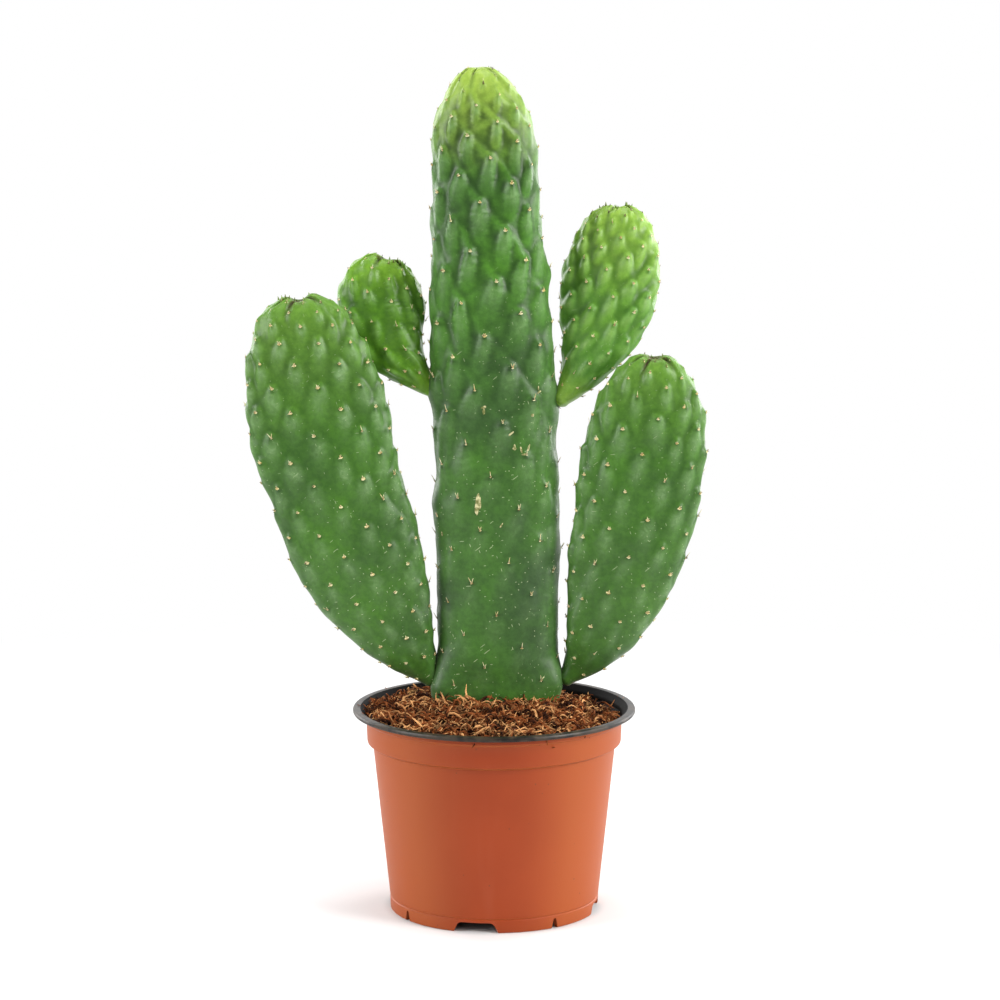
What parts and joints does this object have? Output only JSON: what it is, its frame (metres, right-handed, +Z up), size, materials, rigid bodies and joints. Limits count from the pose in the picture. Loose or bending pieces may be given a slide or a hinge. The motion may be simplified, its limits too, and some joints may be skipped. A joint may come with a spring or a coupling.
{
  "type": "potted paddle cactus",
  "caption": "Potted paddle cactus: a tall column pad with flat side pads, set in coir potting mix in a round tapered nursery pot with a rolled rim.",
  "frame": {"origin": "middle of the whole plant's and pot's box on the floor, so the pot's axis lies about 10 mm towards +X of it", "axes": "+Z up along the column pad, +X to the viewer's right as the plant faces the viewer, +Y away from the viewer, across the pads' thickness"},
  "size_m": [0.2782, 0.17, 0.5093],
  "materials": {
    "terracotta_plastic": "satin terracotta brown outside, black inside and on the rolled rim",
    "coir_mix": "matte brown fibres",
    "trunk_skin": "waxy green skin with cream areoles",
    "pad_skin": "waxy green skin with cream areoles",
    "young_pad_skin": "waxy yellow-green skin with cream areoles"
  },
  "bodies": {
    "root": {"pot": "terracotta_plastic", "soil": "coir_mix", "trunk_pad": "trunk_skin", "pad_lower_left": "pad_skin", "pad_upper_left": "pad_skin", "pad_upper_right": "young_pad_skin", "pad_lower_right": "pad_skin"}
  },
  "joints": []
}
